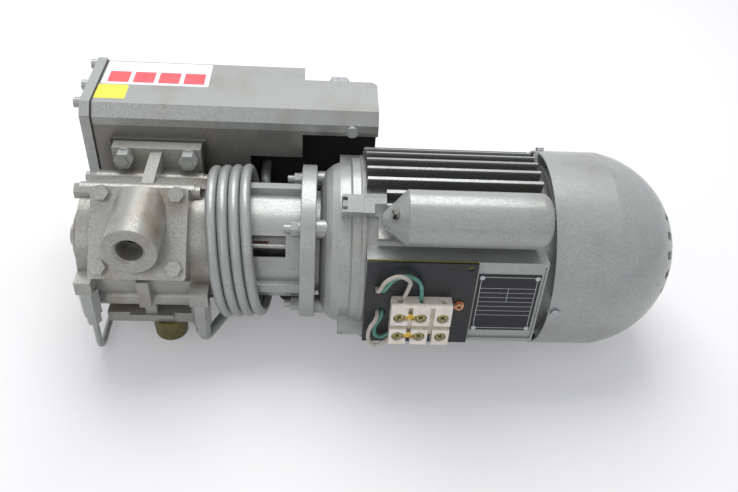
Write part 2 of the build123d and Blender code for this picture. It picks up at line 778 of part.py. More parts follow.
def coupling_jaws(start, length, first):
    """Three jaws of a coupling hub, set in every second gap of the spider."""
    ring = rod(hub_radius - 1, start, start + length)
    jaws = None
    for i in range(3):
        middle = radians(first + 120 * i)
        reach = 2 * hub_radius
        points = [(0, 0, 0)] + [(0, reach * cos(middle + radians(t)), reach * sin(middle + radians(t)))
                                for t in (-30, 0, 30)]
        wedge = Pos(start, 0, 0) * extrude(make_face(Polyline(*points, close=True)), length, dir=(1, 0, 0))
        jaw = ring & wedge
        jaws = jaw if jaws is None else jaws + jaw
    return jaws - spider_form(start - 1, start + length + 1, jaw_gap)


def pump_hub():
    """Jaw coupling hub on the pump shaft."""
    hub = rod(hub_radius, hub_start, spider_start)
    hub += coupling_jaws(spider_start, spider_thickness - jaw_gap, 60)
    return hub - rod(pump_shaft_radius, hub_start - 1, spider_start + 1)


def motor_hub():
    """Jaw coupling hub on the motor shaft."""
    hub = rod(hub_radius, motor_hub_start, motor_hub_end)
    hub += coupling_jaws(spider_start + jaw_gap, spider_thickness - jaw_gap, 0)
    return hub - rod(motor_shaft_radius, motor_hub_start, motor_hub_end + 1)


def coupling_spider():
    """Elastic star between the jaws."""
    return spider_form(spider_start + jaw_gap, motor_hub_start - jaw_gap, 0)


# ------------------------------------------------------------------ motor
def end_shield():
    """Drive end shield: pilot, rounded shoulder, two steps at the rim, ring bosses and clamp lugs."""
    x = ring_end
    outline = [(x - pilot_depth, bearing_bore + 2), (x - pilot_depth, pilot_radius), (x + 3, pilot_radius),
               (x + 3, 44)]
    shoulder = [(4.4, 16), (7.4, 9.7), (11.9, 5.6), (17.4, 3.3), (25, 2.7), (26.5, -0.2), (32.2, -0.6),
                (33.5, -2.2), (shield_length, -rim_stand)]
    outline += [(x + dx, housing_radius - inward) for dx, inward in shoulder]
    wall = [(shield_length, housing_radius - 5), (16, housing_radius - 6), (9, housing_radius - 12), (8, 31),
            (23, 30), (23, bearing_radius), (9, bearing_radius), (9, bearing_bore + 2)]
    outline += [(x + dx, r) for dx, r in wall]
    shield = turned(outline)
    for angle in ring_angles:
        boss = rod(7, ring_end, ring_end + 12, *around(angle, ring_bolt_circle))
        shield += boss
        shield -= rod(ring_bolt_radius, ring_end - 1, ring_end + 9, *around(angle, ring_bolt_circle))
    for angle in shield_lug_angles:
        lug = Pos(housing_start - 8, 0, housing_radius + lug_stand) * Box(16, 14, 14)
        notch = Pos(housing_start - 15, 0, housing_radius + 10) * Box(6, 10, 22)
        shield += Rot(-(angle - 90), 0, 0) * (lug - notch)
    shield -= rod(housing_radius - 5, ring_end + 17, housing_start)
    for angle in shield_lug_angles:
        shield -= rod(2.6, ring_end, housing_start, *around(angle, shield_lug_radius))
    return shield


def stator_housing():
    """Finned housing with clamp lugs, the capacitor saddle and the terminal base."""
    start, end = housing_start, housing_end
    body = rod(housing_radius, start, end) + rod(housing_radius + rim_stand, start, start + 2)
    blank = [(terminal_angle, 32.0), (capacitor_angle, 15.5)]
    count = round(360 / fin_pitch)
    for i in range(count):
        angle = fin_phase + fin_pitch * i
        offsets = [abs((angle - centre + 180) % 360 - 180) - width for centre, width in blank]
        lugs = [abs((angle - centre + 180) % 360 - 180) for centre in shield_lug_angles]
        if min(offsets) < 0 or min(lugs) < 3.5:
            continue
        first = start + 16 if min(lugs) < 9 else start + fin_setback
        height = fin_reach - housing_radius + 2
        last = end - fin_end_setback
        fin = Pos((first + last) / 2, 0, fin_reach - height / 2) * Box(last - first, fin_thickness, height)
        body += Rot(-(angle - 90), 0, 0) * fin
    for angle in shield_lug_angles:
        lug = Pos(start + 8, 0, housing_radius + lug_stand) * Box(16, 15, 15)
        body += Rot(-(angle - 90), 0, 0) * lug
    shelf = Pos((capacitor_tip + capacitor_end) / 2 - 2, 0, (housing_radius + capacitor_centre - 19) / 2)
    shelf *= Box(capacitor_end - capacitor_tip, 24, capacitor_centre - 19 - housing_radius + 12)
    body += Rot(-(capacitor_angle - 90), 0, 0) * shelf
    base_depth = terminal_stand + 21
    base = Pos((terminal_end + terminal_start) / 2, 0, terminal_face - base_depth / 2)
    base *= Box(terminal_end - terminal_start, 2 * terminal_half, base_depth)
    recess_start = terminal_start + board_length + plate_gap / 2
    recess = Pos((recess_start + terminal_end - recess_rim) / 2, 0, terminal_face - recess_depth / 2)
    recess *= Box(terminal_end - recess_rim - recess_start, 2 * terminal_half - 6, recess_depth)
    body += Rot(-(terminal_angle - 90), 0, 0) * (base - recess)
    body -= rod(housing_radius - housing_wall, start, end)
    for x, y in wire_holes:
        body -= on(terminal_plane, x, y, -10, Cylinder(4, 30))
    for angle in shield_lug_angles:
        body -= rod(2.6, start, end, *around(angle, shield_lug_radius))
    tube_clear = rod(capacitor_radius, capacitor_tip - 5, capacitor_end + 8, *around(capacitor_angle, capacitor_centre))
    return body - tube_clear


terminal_plane = facing(terminal_angle, terminal_face)
wire_holes = ((terminal_start + 9.8, 13.0), (terminal_start + 11.8, -8.5))


def stator_core():
    """Laminated stack pressed in the housing."""
    middle = (housing_start + housing_end) / 2
    stack = rod(housing_radius - housing_wall, middle - stack_length / 2, middle + stack_length / 2)
    return stack - rod(stator_radius_in, middle - stack_length / 2 - 1, middle + stack_length / 2 + 1)


def windings():
    """End turns at both sides of the stack."""
    rings = []
    for side in (-1, 1):
        middle = (housing_start + housing_end) / 2 + side * (stack_length / 2 + winding_overhang / 2)
        ring = rod(housing_radius - housing_wall - 6, middle - winding_overhang / 2, middle + winding_overhang / 2)
        rings.append(ring - rod(stator_radius_in + 3, middle - winding_overhang / 2 - 1, middle + winding_overhang / 2 + 1))
    return Compound(rings)


def motor_rotor():
    """Squirrel cage rotor on the motor shaft, which runs through to the fan."""
    middle = (housing_start + housing_end) / 2
    rotor = rod(stator_radius_in - airgap, middle - stack_length / 2, middle + stack_length / 2)
    rotor += rod(motor_shaft_radius, motor_hub_start + 1, fan_start + 18)
    rotor += rod(bearing_bore, ring_end + 7, middle + stack_length / 2 + 50)
    return rotor


def rear_shield():
    """Fan end shield with lugs for the hood screws."""
    x = housing_end
    outline = [(x, 50), (x, housing_radius), (x + rear_shield_length - 4, housing_radius - 2),
               (x + rear_shield_length, housing_radius - 10),
               (x + rear_shield_length, bearing_bore + 2), (x + 16, bearing_bore + 2),
               (x + 16, bearing_radius), (x + 2, bearing_radius), (x + 2, 30), (x + 10, 31), (x + 10, 50)]
    shield = turned(outline)
    for angle in hood_screw_angles:
        depth = hood_radius - hood_sheet - housing_radius + 9
        lug = Pos(x + 7, 0, hood_radius - hood_sheet - depth / 2 + 1) * Box(14, 14, depth)
        shield += (Rot(-(angle - 90), 0, 0) * lug) & rod(hood_radius - hood_sheet, x - 1, x + 30)
    for angle in shield_lug_angles:
        lug = Pos(x + 4, 0, housing_radius + lug_stand) * Box(8, 13, 13)
        shield += Rot(-(angle - 90), 0, 0) * lug
    for angle in shield_lug_angles:
        shield -= rod(2.6, x - 1, x + 9, *around(angle, shield_lug_radius))
    for angle in hood_screw_angles:
        hole = Pos(x + hood_screw_x, 0, hood_radius - 4.5) * Cylinder(2, 9)
        shield -= Rot(-(angle - 90), 0, 0) * hole
    return shield


def motor_bearings():
    """Deep groove ball bearings, each as one ring."""
    rings = []
    for start in (ring_end + 9, housing_end + 2):
        race = rod(bearing_radius, start, start + bearing_width)
        rings.append(race - rod(bearing_bore + running_gap, start - 1, start + bearing_width + 1))
    return Compound(rings)


def cooling_fan():
    """Radial fan with straight blades."""
    hub = rod(15, fan_start, fan_start + 18)
    back = rod(30, fan_start, fan_start + 3)
    fan = hub + back
    for i in range(fan_blades):
        blade = Pos(fan_start + 10, 0, (fan_radius + 13) / 2) * Box(20, 2, fan_radius - 13)
        fan += Rot(360 / fan_blades * i, 0, 0) * blade
    return fan - rod(motor_shaft_radius, fan_start - 1, fan_start + 19)


def hood_face(sheet):
    """Half section of the hood's outer or inner surface, closed down to the shaft."""
    radius, end = hood_radius - sheet, hood_end - sheet
    shoulder = (hood_shoulder, radius)
    corner = (end, hood_nose_radius - sheet * 0.3)
    bulge = (hood_shoulder + (end - hood_shoulder) * 0.64, radius * 0.762)
    path = Polyline((hood_start - (1 if sheet else 0), 0), (hood_start - (1 if sheet else 0), radius), shoulder)
    path += ThreePointArc(shoulder, bulge, corner)
    path += Polyline(corner, (end, 0), (hood_start - (1 if sheet else 0), 0))
    return make_face(path)


def fan_hood():
    """Sheet metal hood, domed at its end, with rings of air slots in the end face."""
    hood = revolve(hood_face(0), Axis.X, 360) - revolve(hood_face(hood_sheet), Axis.X, 360)
    for radius, count, width in hood_slots:
        for i in range(count):
            slot = Pos(hood_end, 0, radius) * Box(60, width, 9)
            hood -= Rot(360 / count * i, 0, 0) * slot
    for angle in hood_screw_angles:
        hole = Pos(housing_end + hood_screw_x, 0, hood_radius) * Cylinder(2.2, 8)
        hood -= Rot(-(angle - 90), 0, 0) * hole
    return hood


hood_slots = ((17, 8, 5), (32, 14, 6), (46, 20, 6))


def hood_screws():
    """Screws of the hood."""
    screws = []
    for angle in hood_screw_angles:
        screw = Pos(housing_end + hood_screw_x, 0, hood_radius - 4.5) * Cylinder(2, 9)
        screw += Pos(housing_end + hood_screw_x, 0, hood_radius + 1.2) * Cylinder(3.4, 2.4)
        screws.append(Rot(-(angle - 90), 0, 0) * screw)
    return Compound(screws)


def shield_bolts():
    """Long bolts that clamp both end shields on the housing."""
    bolts = []
    for angle in shield_lug_angles:
        y, z = around(angle, shield_lug_radius)
        bolts.append(rod(2.5, housing_start - 15, housing_end + 8, y, z)
                     + Pos(housing_start - 12.0, y, z) * Rot(0, -90, 0) * hexagon(7.6, 3.4))
    return Compound(bolts)


def capacitor_place():
    """Centre line of the capacitor, at X = 0."""
    return Pos(0, *around(capacitor_angle, capacitor_centre)) * Rot(-(capacitor_angle - 90), 0, 0)


def capacitor_form(shrink):
    """Outer or inner form of the capacitor cover: a tube, tapered to a tongue at its left end."""
    radius = capacitor_radius - shrink
    tube = rod(radius, capacitor_start, capacitor_end - shrink)
    tube = fillet(tube.edges().filter_by(GeomType.CIRCLE).sort_by(Axis.X)[-1], 8 - shrink)
    wide = Plane(origin=(capacitor_start, 0, 0), z_dir=(-1, 0, 0)) * Circle(radius)
    narrow = Plane(origin=(capacitor_tip + shrink, 0, -8), z_dir=(-1, 0, 0)) * Circle(4.5 - shrink / 2)
    return tube + loft([wide, narrow])


def capacitor_cover():
    """Sheet cover of the run capacitor."""
    return capacitor_place() * (capacitor_form(0) - capacitor_form(capacitor_sheet)) - capacitor_screw()


def capacitor():
    """Run capacitor in its cover."""
    can = rod(capacitor_radius - capacitor_sheet, capacitor_start + 2, capacitor_end - 12)
    return capacitor_place() * can


def terminal_gasket():
    """Gasket sheet under the board; its edge shows along the top."""
    x = terminal_start + board_length / 2
    sheet = on(terminal_plane, x, 0.4, board_gasket / 2, Box(board_length, 2 * terminal_half + 0.8, board_gasket))
    for hole_x, hole_y in wire_holes:
        sheet -= on(terminal_plane, hole_x, hole_y, 0, Cylinder(4, 10))
    return sheet


def terminal_board():
    """Insulating board on the terminal base."""
    x = terminal_start + board_length / 2
    middle = board_gasket + board_thickness / 2
    board = on(terminal_plane, x, 0, middle, Box(board_length, 2 * terminal_half, board_thickness))
    for hole_x, hole_y in wire_holes:
        board -= on(terminal_plane, hole_x, hole_y, middle, Cylinder(3.8, 2 * board_thickness))
    spare = terminal_start + board_length - 5.1
    return board - on(terminal_plane, spare, terminal_half - 4.4, middle, Cylinder(2, 2 * board_thickness))


board_face = board_gasket + board_thickness
pole_places = [block_x + (i - 1) * pole_pitch for i in range(3)]


def terminal_block():
    """Six pole terminal block: a bridge with the wire entries, and two rows of towers with the screws."""
    low = block_depth * 0.45
    middle = (block_top + block_bottom) / 2
    face = board_face + block_depth
    body = on(terminal_plane, block_x, middle, board_face + low / 2,
              Box(block_width, block_top - block_bottom, low))
    for x in pole_places[:2]:
        body -= on(terminal_plane, x + pole_pitch / 2, block_bottom, board_face + low / 2,
                   Box(pole_pitch - pole_width, 12, low + 1))
    bridge = on(terminal_plane, block_x, block_top - block_bridge / 2, board_face + block_depth / 2,
                Box(block_width, block_bridge, block_depth))
    body += bridge
    row_gap = 3.6
    split = (upper_row + lower_row) / 2
    for x in pole_places:
        for bottom, top in ((split + row_gap / 2, block_top - block_bridge / 2), (block_bottom, split - row_gap / 2)):
            body += on(terminal_plane, x, (bottom + top) / 2, board_face + block_depth / 2,
                       Box(pole_width, top - bottom, block_depth))
    edges = body.edges().filter_by(Axis.X).filter_by(lambda e: e.length > block_width - 1)
    body = fillet(edges.sort_by(lambda e: terminal_plane.to_local_coords(e.center()).Z)[-1], 1.6)
    for x in pole_places:
        for row in (upper_row, lower_row):
            body -= on(terminal_plane, x, row, face - 2, Cylinder(4.4, 4))
        entry = Rot(90, 0, 0) * Cylinder(2.4, 8)
        body -= on(terminal_plane, x, block_top, board_face + block_depth * 0.55, entry)
    for row in (upper_row, lower_row):
        body -= on(terminal_plane, pole_places[0] + pole_pitch / 2, row, face - 1.5, Box(pole_pitch, 5.4, 3))
    return body


def terminal_screws():
    """Terminal screws with their washers, in the towers."""
    screws = []
    for x in pole_places:
        for row in (upper_row, lower_row):
            screw = Pos(0, 0, 0.5) * Cylinder(4.2, 1) + Pos(0, 0, 1.8) * Cylinder(3.3, 1.8)
            screws.append(on(terminal_plane, x, row, board_face + block_depth - 4, screw))
    return Compound(screws)


def terminal_links():
    """Brass links between the first two poles of each row."""
    length = pole_pitch - 2 * 4.3
    height = board_face + block_depth - 2.5
    return Compound([on(terminal_plane, pole_places[0] + pole_pitch / 2, row, height, Box(length, 5.2, 1))
                     for row in (upper_row, lower_row)])


def board_screw():
    """Copper screw and washer that hold the board."""
    head = Pos(0, 0, 0.5) * Cylinder(3.8, 1) + Pos(0, 0, 1.9) * Cylinder(3, 1.8)
    return on(terminal_plane, block_x + 27.9, -0.2, board_face, head)


def wire(points):
    """Insulated wire through these points of the board, cut off flush at the block."""
    route = [terminal_plane.from_local_coords(Vector(terminal_start + x, y, board_face + h)) for x, y, h in points]
    radii = []
    for before, here, after in zip(route, route[1:], route[2:]):
        run = min((here - before).length, (after - here).length)
        turn = radians((here - before).get_angle(after - here))
        radii.append(0.45 * run / tan(turn / 2))
    path = FilletPolyline(*route, radius=radii)
    section = Plane(origin=route[0], z_dir=route[1] - route[0]) * Circle(wire_radius)
    return sweep(section, path=path) - terminal_block()


def wires_grey():
    """Pale wires: one over the top of the block, one round its lower corner."""
    upper = [(8.2, 13, -6), (8.4, 14, 6), (13, 29, 9.5), (22, 35.5, 11), (31, 30, 10.5), (28.5, 15, 6.5),
             (27, 5, 2.4)]
    lower = [(9.9, -8.5, -6), (9.7, -9.5, 5.4), (3.8, -18, 8.2), (3.5, -29, 8), (9.5, -35.5, 8), (15.5, -32.5, 7.2),
             (20.4, -28.5, 6.2)]
    return Compound([wire(upper), wire(lower)])


def wires_green():
    """Green wires beside the pale ones."""
    upper = [(11.4, 12.6, -6), (11.6, 13.5, 4.5), (18.5, 27, 5.5), (28, 31, 5), (38, 25, 4.5), (40.4, 14, 3.5),
             (40.4, 4, 2.4)]
    lower = [(13.3, -8.3, -6), (13.3, -9.0, 2.6), (8, -20, 3.2), (8.8, -28.5, 3.6), (14, -31.5, 3), (24, -24, 2.6)]
    return Compound([wire(upper), wire(lower)])


def capacitor_screw():
    """Cross-head screw on the sloping end of the capacitor cover."""
    rise, run = 2 * capacitor_radius - 17.1, capacitor_start - capacitor_tip
    slope = degrees(atan(rise / run))
    x = (capacitor_tip + capacitor_start) / 2 - 0.5
    z = capacitor_radius - rise * (capacitor_start - x) / run
    head = Pos(0, 0, 1.1) * Cylinder(3.6, 1.8) + Cylinder(1.8, 1.2)
    return capacitor_place() * Pos(x, 0, z) * Rot(0, -slope, 0) * head


def rating_plate():
    """Bare metal plate in the recess, with its rivets."""
    x = terminal_start + board_length + plate_gap + plate_length / 2
    plate = on(terminal_plane, x, -0.5, -recess_depth + 0.4, Box(plate_length, plate_height, 0.8))
    for dx in (-plate_length / 2 + 2.5, plate_length / 2 - 2.5):
        for dy in (-plate_height / 2 + 2.5, plate_height / 2 - 2.5):
            plate += on(terminal_plane, x + dx, dy - 0.5, -recess_depth + 1, Cylinder(1.8, 1.2))
    return plate


def main_pieces():
    """Every node by name."""
    pieces = {
        "pump_cylinder": pump_cylinder(),
        "left_cover": left_cover(),
        "right_cover": right_cover(),
        "shaft_seal": shaft_seal(),
        "bushes": bushes(),
        "tie_bolts": tie_bolts(),
        "pump_rotor": pump_rotor(),
        "inlet_flange": inlet_flange(),
        "inlet_gasket": inlet_seal(),
        "inlet_bolts": inlet_bolts(),
        "inlet_strainer": inlet_strainer(),
        "check_valve_disc": check_valve_disc(),
        "oil_box": oil_box(),
        "oil_box_gasket": oil_box_gasket(),
        "oil_box_lid": oil_box_lid(),
        "lid_screws": lid_screws(),
        "mounting_gasket": box_gasket_sheet(),
        "mounting_bolts": mounting_bolts(),
        "exhaust_filter": exhaust_filter(),
        "exhaust_valve": exhaust_valve(),
        "filler_plug": filler_plug(),
        "front_plug": front_plug(),
        "oil_coil": oil_coil(),
        "line_unions": line_unions(),
        "return_pipe": return_pipe(),
        "foot_front": foot(*front_foot, sole_bottom),
        "foot_lantern": foot(*lantern_foot, sole_bottom, slim_foot_radius),
        "feet_box": Compound([foot(*place, box_bottom) for place in box_feet]),
        "lantern": lantern(),
        "lantern_screws": lantern_screws(),
        "ring_bolts": ring_bolts(),
        "pump_hub": pump_hub(),
        "motor_hub": motor_hub(),
        "coupling_spider": coupling_spider(),
        "end_shield": end_shield(),
        "stator_housing": stator_housing(),
        "stator_core": stator_core(),
        "windings": windings(),
        "motor_rotor": motor_rotor(),
        "rear_shield": rear_shield(),
        "motor_bearings": motor_bearings(),
        "cooling_fan": cooling_fan(),
        "fan_hood": fan_hood(),
        "hood_screws": hood_screws(),
        "shield_bolts": shield_bolts(),
        "capacitor_cover": capacitor_cover(),
        "capacitor": capacitor(),
        "capacitor_screw": capacitor_screw(),
        "terminal_gasket": terminal_gasket(),
        "terminal_board": terminal_board(),
        "wires_grey": wires_grey(),
        "wires_green": wires_green(),
        "terminal_block": terminal_block(),
        "terminal_screws": terminal_screws(),
        "terminal_links": terminal_links(),
        "board_screw": board_screw(),
        "rating_plate": rating_plate(),
    }
    for number, angle in enumerate(vane_places, 1):
        pieces[f"vane_{number}"] = vane(angle)
    return pieces


# The finished part stands on its feet and hood, centred over the origin.
pieces = main_pieces()
extent = Compound(list(pieces.values())).bounding_box()
to_row_frame = Pos(-extent.center().X, -extent.center().Y, -floor)
os.makedirs("parts", exist_ok=True)
for node, shape in pieces.items():
    export_step(to_row_frame * shape, f"parts/{node}.step")
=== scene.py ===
from math import cos, radians, sin

import bmesh
import bpy
from mathutils import Matrix, Vector


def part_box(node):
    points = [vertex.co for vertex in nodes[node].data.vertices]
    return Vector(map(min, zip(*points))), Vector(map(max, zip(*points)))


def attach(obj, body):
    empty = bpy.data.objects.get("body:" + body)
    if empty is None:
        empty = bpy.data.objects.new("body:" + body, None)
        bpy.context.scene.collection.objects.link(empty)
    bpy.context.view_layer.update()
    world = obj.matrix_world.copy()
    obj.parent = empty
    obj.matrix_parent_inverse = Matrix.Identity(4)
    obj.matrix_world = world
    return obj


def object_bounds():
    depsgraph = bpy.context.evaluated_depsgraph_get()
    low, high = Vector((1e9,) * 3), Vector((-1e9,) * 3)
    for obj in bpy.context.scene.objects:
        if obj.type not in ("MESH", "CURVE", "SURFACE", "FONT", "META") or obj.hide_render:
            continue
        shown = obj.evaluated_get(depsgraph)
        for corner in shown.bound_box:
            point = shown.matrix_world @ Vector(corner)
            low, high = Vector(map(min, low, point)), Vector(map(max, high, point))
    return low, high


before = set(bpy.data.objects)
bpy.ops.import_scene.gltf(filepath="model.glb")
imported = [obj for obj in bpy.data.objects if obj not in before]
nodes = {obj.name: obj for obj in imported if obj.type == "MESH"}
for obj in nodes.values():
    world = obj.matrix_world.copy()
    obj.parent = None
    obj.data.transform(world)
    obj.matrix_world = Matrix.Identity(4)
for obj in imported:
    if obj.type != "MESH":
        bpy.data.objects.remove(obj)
cad_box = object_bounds()


# ---------------------------------------------------------------- camera
# A product shot from the front and well above, with the camera rolled a few degrees, so the shaft seems to
# fall away to the right. The lens is a short portrait lens on a full frame sensor.
camera_yaw = radians(4.995)
camera_pitch = radians(41.37)
camera_roll = radians(4.74)
camera_place = Vector((-0.0425, -0.4995, 0.4914))

look = Vector((sin(camera_yaw) * cos(camera_pitch), cos(camera_yaw) * cos(camera_pitch), -sin(camera_pitch)))
level = Vector((cos(camera_yaw), -sin(camera_yaw), 0.0))
upright = level.cross(look)
across = level * cos(camera_roll) + upright * sin(camera_roll)
upward = upright * cos(camera_roll) - level * sin(camera_roll)
camera = bpy.data.objects.new("camera", bpy.data.cameras.new("camera"))
camera.data.lens = 38.51
camera.data.sensor_width = 36.0
camera.data.clip_start = 0.02
camera.matrix_world = Matrix.Translation(camera_place) @ Matrix((across, upward, -look)).transposed().to_4x4()
bpy.context.collection.objects.link(camera)
bpy.context.scene.camera = camera
bpy.context.scene.view_settings.view_transform = "Standard"


# ---------------------------------------------------------------- studio floor and lamps
# A sheet of pale paper under soft boxes: a broad one above and behind, which puts the highlights on the upper
# side of each barrel, and a weaker one in front that opens the shadows.
def linear(code, alpha=1.0):
    """sRGB hex colour as linear RGBA."""
    channels = [int(code[i:i + 2], 16) / 255 for i in (1, 3, 5)]
    return tuple(c / 12.92 if c <= 0.04045 else ((c + 0.055) / 1.055) ** 2.4 for c in channels) + (alpha,)


def add(tree, kind, inputs=None, **settings):
    """Add a node: settings are its attributes, inputs its sockets' values or the outputs linked to them."""
    node = tree.nodes.new(kind)
    for name, value in settings.items():
        setattr(node, name, value)
    for socket, value in (inputs or {}).items():
        if isinstance(value, bpy.types.NodeSocket):
            tree.links.new(value, node.inputs[socket])
        else:
            node.inputs[socket].default_value = value
    return node


def new_material(name):
    """Empty node material with its output's surface socket."""
    material = bpy.data.materials.new(name)
    material.use_nodes = True
    tree = material.node_tree
    tree.nodes.clear()
    output = tree.nodes.new("ShaderNodeOutputMaterial")
    return material, tree, output.inputs["Surface"]


def seen_directly(tree):
    """1 for a ray from the eye, off gloss or through clear stuff, 0 for light that falls on the object."""
    rays = add(tree, "ShaderNodeLightPath").outputs
    either = add(tree, "ShaderNodeMath", {0: rays["Is Camera Ray"], 1: rays["Is Glossy Ray"]}, operation="ADD")
    every = add(tree, "ShaderNodeMath", {0: either.outputs[0], 1: rays["Is Transmission Ray"]}, operation="ADD")
    return every.outputs[0]


floor_glow = 0.25
floor_side = 6.0
paper, tree, surface = new_material("studio_paper")
paper_shader = add(tree, "ShaderNodeBsdfDiffuse", {"Color": linear("#F4F2F1")})
glow = add(tree, "ShaderNodeEmission", {"Color": linear("#F3F4F8"), "Strength": 1.0})
seen = add(tree, "ShaderNodeMath", {0: seen_directly(tree), 1: floor_glow}, operation="MULTIPLY")
mix = add(tree, "ShaderNodeMixShader", {0: seen.outputs[0], 1: paper_shader.outputs[0], 2: glow.outputs[0]})
tree.links.new(mix.outputs[0], surface)
bpy.ops.mesh.primitive_plane_add(size=floor_side, location=(0, 0, cad_box[0][2]))
floor = bpy.context.object
floor.name = "studio_floor"
floor.data.materials.append(paper)

world = bpy.data.worlds.new("studio")
world.use_nodes = True
bpy.context.scene.world = world
tree = world.node_tree
tree.nodes.clear()
sky = add(tree, "ShaderNodeBackground", {"Color": linear("#E9ECF2"), "Strength": 0.62})
wall = add(tree, "ShaderNodeBackground", {"Color": linear("#F3F4F8"), "Strength": 1.0})
mix = add(tree, "ShaderNodeMixShader", {0: seen_directly(tree), 1: sky.outputs[0], 2: wall.outputs[0]})
output = tree.nodes.new("ShaderNodeOutputWorld")
tree.links.new(mix.outputs[0], output.inputs["Surface"])

for name, place, size, power in (("soft_box_top", (-0.10, 0.55, 1.30), 1.1, 17.0),
                                 ("soft_box_front", (-0.60, -1.10, 0.90), 0.9, 2.0)):
    lamp = bpy.data.objects.new(name, bpy.data.lights.new(name, "AREA"))
    lamp.data.shape = "SQUARE"
    lamp.data.size = size
    lamp.data.energy = power
    lamp.data.color = linear("#FFFFFF")[:3]
    lamp.location = place
    lamp.rotation_euler = (Vector((0, 0, 0.05)) - Vector(place)).to_track_quat("-Z", "Y").to_euler()
    bpy.context.collection.objects.link(lamp)


# ---------------------------------------------------------------- castings, sheet metal and fittings in enamel
# Grey hammer-finish enamel, sprayed over castings, sheets, tubes and most fasteners after assembly. It dries
# in small dimples with aluminium flake in it, so it sparkles, and it gathers dust and oil in places.
def enamel(name, light="#A9ACA9", dark="#979A97", stain="#7F786E", stain_share=0.35, dimple=0.0011, roughness=0.30):
    """Hammer-finish enamel; returns its material, node tree and shader."""
    material, tree, surface = new_material(name)
    place = add(tree, "ShaderNodeTexCoord").outputs["Object"]
    soiled_patch = 0.030
    grain = add(tree, "ShaderNodeTexNoise", {"Vector": place, "Scale": 1 / dimple, "Detail": 2.0})
    cloud = add(tree, "ShaderNodeTexNoise", {"Vector": place, "Scale": 1 / soiled_patch, "Detail": 5.0})
    tone = add(tree, "ShaderNodeMapRange", {"Value": grain.outputs["Fac"], 1: 0.38, 2: 0.62})
    coat = add(tree, "ShaderNodeMix", {0: tone.outputs[0], 6: linear(dark), 7: linear(light)}, data_type="RGBA")
    soil = add(tree, "ShaderNodeMapRange", {"Value": cloud.outputs["Fac"], 1: 0.50, 2: 0.74, 4: stain_share})
    colour = add(tree, "ShaderNodeMix", {0: soil.outputs[0], 6: coat.outputs[2], 7: linear(stain)}, data_type="RGBA")
    sparkle = add(tree, "ShaderNodeMapRange", {"Value": grain.outputs["Fac"], 1: 0.35, 2: 0.65,
                                               3: roughness + 0.10, 4: roughness - 0.08})
    bump = add(tree, "ShaderNodeBump", {"Strength": 0.50, "Distance": 0.00008, "Height": grain.outputs["Fac"]})
    shader = add(tree, "ShaderNodeBsdfPrincipled", {
        "Base Color": colour.outputs[2], "Metallic": 0.30, "Roughness": sparkle.outputs[0], "Normal": bump.outputs[0]})
    tree.links.new(shader.outputs[0], surface)
    return material, tree, shader


def dress(material, *names):
    """Give these nodes' own objects this material."""
    for name in names:
        nodes[name].material_slots[0].material = material


grey_enamel = enamel("hammer_enamel")[0]
dress(grey_enamel, "oil_box_lid", "lid_screws", "mounting_bolts", "front_plug", "line_unions", "return_pipe",
      "oil_coil", "lantern", "ring_bolts", "end_shield", "rear_shield", "fan_hood", "shield_bolts", "capacitor_cover")


# ---------------------------------------------------------------- pump cylinder, covers and inlet flange
# Rough sand-cast iron under the same enamel, with a heavy brown stain and brown pits: partly dust, partly a painted
# warm reflection of light thrown up from below.
# Partly dust, partly painted warm reflection: a heavy brown stain.
stained_enamel_with_painted_reflection, tree, shader = enamel("hammer_enamel_with_stain_and_painted_reflection", "#A8A8A3", "#8F8E88", "#7A6A57", 0.75)
pit_size = 0.0022
casting = add(tree, "ShaderNodeTexCoord").outputs["Object"]
pits = add(tree, "ShaderNodeTexNoise", {"Vector": casting, "Scale": 1 / pit_size, "Detail": 4.0, "Roughness": 0.7})
share = add(tree, "ShaderNodeMapRange", {"Value": pits.outputs["Fac"], 1: 0.54, 2: 0.72, 4: 0.42})
coat = shader.inputs["Base Color"].links[0].from_socket
# Partly dust, partly painted warm reflection: brown pits mixed into the enamel.
brown_pits_and_painted_reflection = add(tree, "ShaderNodeMix", {0: share.outputs[0], 6: coat, 7: linear("#6E5B49")}, data_type="RGBA")
tree.links.new(brown_pits_and_painted_reflection.outputs[2], shader.inputs["Base Color"])
dress(stained_enamel_with_painted_reflection, "pump_cylinder", "left_cover", "right_cover", "inlet_flange", "inlet_bolts", "tie_bolts")


# ---------------------------------------------------------------- motor housing
# Finned aluminium casting, enamelled with the rest. Dust and painted shade between the fins leave the roots of the
# fins much darker than their tips.
fin_enamel, tree, shader = enamel("hammer_enamel_on_fins")
dark_radius, bright_radius = 0.0735, 0.0752
terminal_side = -0.030
hood_low, hood_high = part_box("fan_hood")
shaft_y, shaft_z = (hood_low[1] + hood_high[1]) / 2, (hood_low[2] + hood_high[2]) / 2
place = add(tree, "ShaderNodeTexCoord").outputs["Object"]
centred = add(tree, "ShaderNodeVectorMath", {0: place, 1: (0.0, shaft_y, shaft_z)}, operation="SUBTRACT")
radial = add(tree, "ShaderNodeVectorMath", {0: centred.outputs[0], 1: (0.0, 1.0, 1.0)}, operation="MULTIPLY")
radius = add(tree, "ShaderNodeVectorMath", {0: radial.outputs[0]}, operation="LENGTH")
# Dust and painted shade: the colour gets darker towards the fin roots, where shade falls between the fins.
depth = add(tree, "ShaderNodeMapRange", {"Value": radius.outputs["Value"], 1: dark_radius, 2: bright_radius,
                                         3: 0.72, 4: 0.0})
front = add(tree, "ShaderNodeSeparateXYZ", {0: centred.outputs[0]})
behind = add(tree, "ShaderNodeMath", {0: front.outputs["Y"], 1: terminal_side}, operation="GREATER_THAN")
amount = add(tree, "ShaderNodeMath", {0: depth.outputs[0], 1: behind.outputs[0]}, operation="MULTIPLY")
coat = shader.inputs["Base Color"].links[0].from_socket
dust_and_painted_shade = add(tree, "ShaderNodeMix", {0: amount.outputs[0], 6: coat, 7: linear("#3B3833")}, data_type="RGBA")
tree.links.new(dust_and_painted_shade.outputs[2], shader.inputs["Base Color"])
dress(fin_enamel, "stator_housing")
